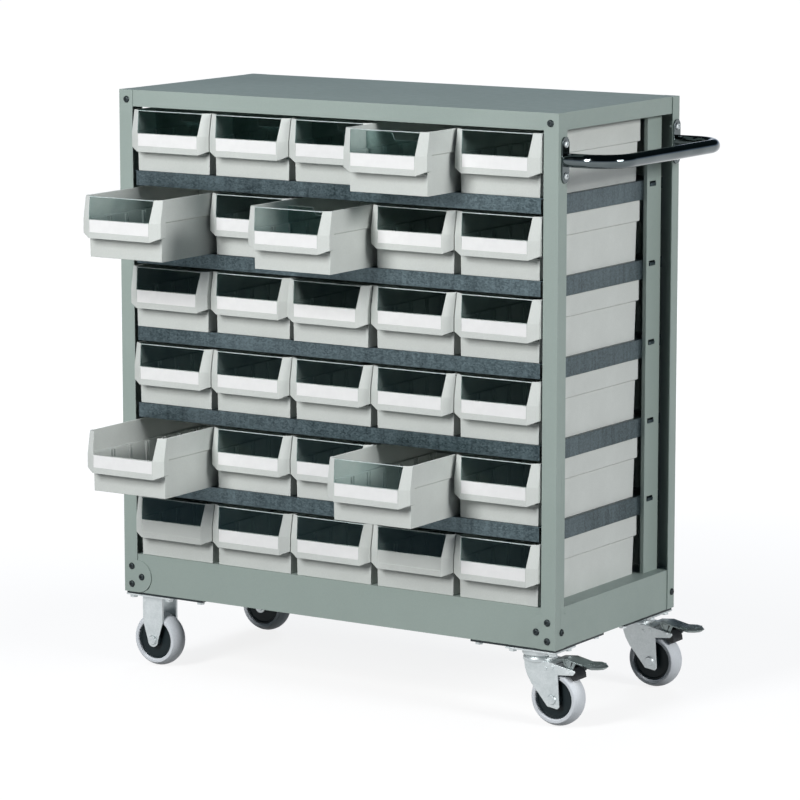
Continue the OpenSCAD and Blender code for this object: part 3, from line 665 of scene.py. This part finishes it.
def ribbed_shell(bm):
    """The bin's moulding with its ribs joined on and its edges rounded."""
    shell = to_object(bm, "bin_shell", [BIN_PLASTIC])
    ribs = to_object(rib_boxes(), "ribs", [BIN_PLASTIC])
    union = shell.modifiers.new("ribs", "BOOLEAN")
    union.operation = "UNION"
    union.solver = "EXACT"
    union.object = ribs
    apply_modifiers(shell)
    bpy.data.objects.remove(ribs)
    return rounded(shell, SHELL_EDGE, crisp=WIDE_FACE, clamped=False)


def clear_part(bm, name, bead_and_highlight=0.0):
    """A clear sheet whose cut edges, and a band along its top, have their own material."""
    # The band along the top is partly the sheet's milky edge and partly a painted highlight.
    top = max(v.co.z for v in bm.verts) - bead_and_highlight
    if bead_and_highlight:
        bmesh.ops.bisect_plane(
            bm, geom=bm.verts[:] + bm.edges[:] + bm.faces[:],
            plane_co=(0, 0, top), plane_no=(0, 0, 1),
        )
    sheet = rounded(to_object(bm, name, [CLEAR, EDGE]), CLEAR_EDGE, segments=1)
    for polygon in sheet.data.polygons:
        milky = abs(polygon.normal.y) < ALONG_Y or (bead_and_highlight and polygon.center.z > top)
        polygon.material_index = 1 if milky else 0
    return sheet


def put(mesh, name, node_name):
    """A copy of a bin's piece, at another bin's place."""
    piece = bpy.data.objects.new(name, mesh)
    bpy.context.scene.collection.objects.link(piece)
    piece.location = bin_origin(node_name)
    stand_in(piece, node_name)


def build_bins():
    """All bins share the first one's shell, label and pane. A divider is each bin's own."""
    solids = bin_solids("bin_1_1")
    label = to_object(solids["label"], "bin_label", [CARD])
    patterns = {
        "shell": ribbed_shell(solids["shell"]),
        "label": rounded(label, CARD_EDGE, segments=1),
        "pane": clear_part(solids["pane"], "bin_pane", PANE_BEAD_AND_HIGHLIGHT),
    }
    for row in range(1, BIN_ROWS + 1):
        for column in range(1, BIN_COLUMNS + 1):
            name = f"bin_{row}_{column}"
            for kind, solid in bin_solids(name).items():
                if kind == "divider":
                    divider = clear_part(solid, name + "_divider")
                    divider.location = bin_origin(name)
                    stand_in(divider, name)
                else:
                    put(patterns[kind].data, f"{name}_{kind}", name)
                    solid.free()
    for pattern in patterns.values():
        bpy.data.objects.remove(pattern)


# ---------- scene ----------

WHITE = grey(1)
WALL_HAZE = (0.40, 0.50, 0.66, 1)
CEILING = (0.012, 0.02, 0.024, 1)
WALL_HEIGHTS = (0.03, 0.14, 0.26)  # how steep a ray is, as its Z, at white, haze and ceiling
FILL_BELOW = (0.03, 0.05, 0.045, 1)
FILL_ABOVE = (0.07, 0.10, 0.19, 1)
FILL_HEIGHTS = (0.3, 0.9)

FLOOR_REACH = 60  # each way from the middle
FLOOR_SINK = 0.5 * MM  # keeps the floor off the tyres
FLOOR_SHADE = 0.19  # how much of its tone the lamps show
FLOOR_GLOW = (0.85, 1.0)
FLOOR_FADE = (0.9, 3.0)  # distances from the middle over which the glow rises

LAMP_TARGET = (0, 0, 0.55)


def lamp(name, location, size, power, colour=(1, 1, 1)):
    """A rectangular lamp that shines on the cabinet's middle and isn't seen itself."""
    data = bpy.data.lights.new(name, "AREA")
    data.shape = "RECTANGLE"
    data.size, data.size_y = size
    data.energy = power
    data.color = colour
    made = bpy.data.objects.new(name, data)
    bpy.context.scene.collection.objects.link(made)
    made.location = location
    beam = Vector(LAMP_TARGET) - made.location
    made.rotation_euler = beam.to_track_quat("-Z", "Y").to_euler()
    made.visible_camera = False
    return made


def seen_directly(tree):
    """1 for rays from the camera, from a mirror or through glass, and 0 for light on things."""
    path = node(tree, "LightPath")
    first = node(tree, "Math", {
        0: path.outputs["Is Camera Ray"], 1: path.outputs["Is Glossy Ray"],
    }, operation="MAXIMUM")
    return node(tree, "Math", {
        0: first.outputs[0], 1: path.outputs["Is Transmission Ray"],
    }, operation="MAXIMUM").outputs[0]


def add_world():
    """White walls with a bluish top edge under a dark ceiling, and a faint fill, bluer from
    above, for all that isn't seen directly."""
    world = bpy.data.worlds.new("world")
    bpy.context.scene.world = world
    world.use_nodes = True
    tree = world.node_tree
    tree.nodes.clear()
    direction = node(tree, "TexCoord").outputs["Generated"]
    height = node(tree, "SeparateXYZ", {0: direction}).outputs["Z"]
    walls = ramp(tree, height, WHITE, WALL_HAZE, CEILING, at=WALL_HEIGHTS)
    faint = ramp(tree, height, FILL_BELOW, FILL_ABOVE, at=FILL_HEIGHTS)
    sky = node(tree, "Background", {"Color": mix(tree, seen_directly(tree), faint, walls)})
    node(tree, "OutputWorld", {"Surface": sky.outputs[0]})


def add_floor():
    """A pale floor that keeps the shadow and fades to white away from the cabinet."""
    material, tree = new_material("floor")
    tone = ramp(tree, noise(tree, 0.8), srgb(236, 236, 236), srgb(242, 242, 242))
    shaded = mix(tree, 1.0, tone, grey(FLOOR_SHADE), "MULTIPLY")
    plain = node(tree, "BsdfDiffuse", {"Color": shaded})
    away = node(tree, "VectorMath", {0: place(tree)}, operation="LENGTH").outputs["Value"]
    shine = node(tree, "Math", {
        0: seen_directly(tree), 1: spread(tree, away, *FLOOR_GLOW, at=FLOOR_FADE),
    }, operation="MULTIPLY")
    light = node(tree, "Emission", {"Color": WHITE, "Strength": shine.outputs[0]})
    both = node(tree, "AddShader", {0: plain.outputs[0], 1: light.outputs[0]})
    finish_material(tree, both)
    bm = bmesh.new()
    bmesh.ops.create_grid(bm, x_segments=8, y_segments=8, size=FLOOR_REACH)
    floor = to_object(bm, "floor", [material])
    floor.location.z = -FLOOR_SINK


def add_lights():
    """A tall key from the front, a soft lamp on the handle's end, and a cool one from behind
    that leaves no glare on the top."""
    lamp("key", location=(-0.8, -4.0, 2.7), size=(1.1, 2.4), power=212)
    lamp("side", location=(6.65, -0.6, 3.0), size=(2.0, 1.6), power=345)
    cool = (0.74, 0.86, 1.0)
    rear = lamp("rear", location=(-1.8, 5.2, 3.0), size=(2.4, 1.8), power=120, colour=cool)
    rear.visible_glossy = False


add_camera()
build_frame()
build_castors()
build_bins()
add_world()
add_floor()
add_lights()

bpy.context.scene.view_settings.view_transform = "Standard"
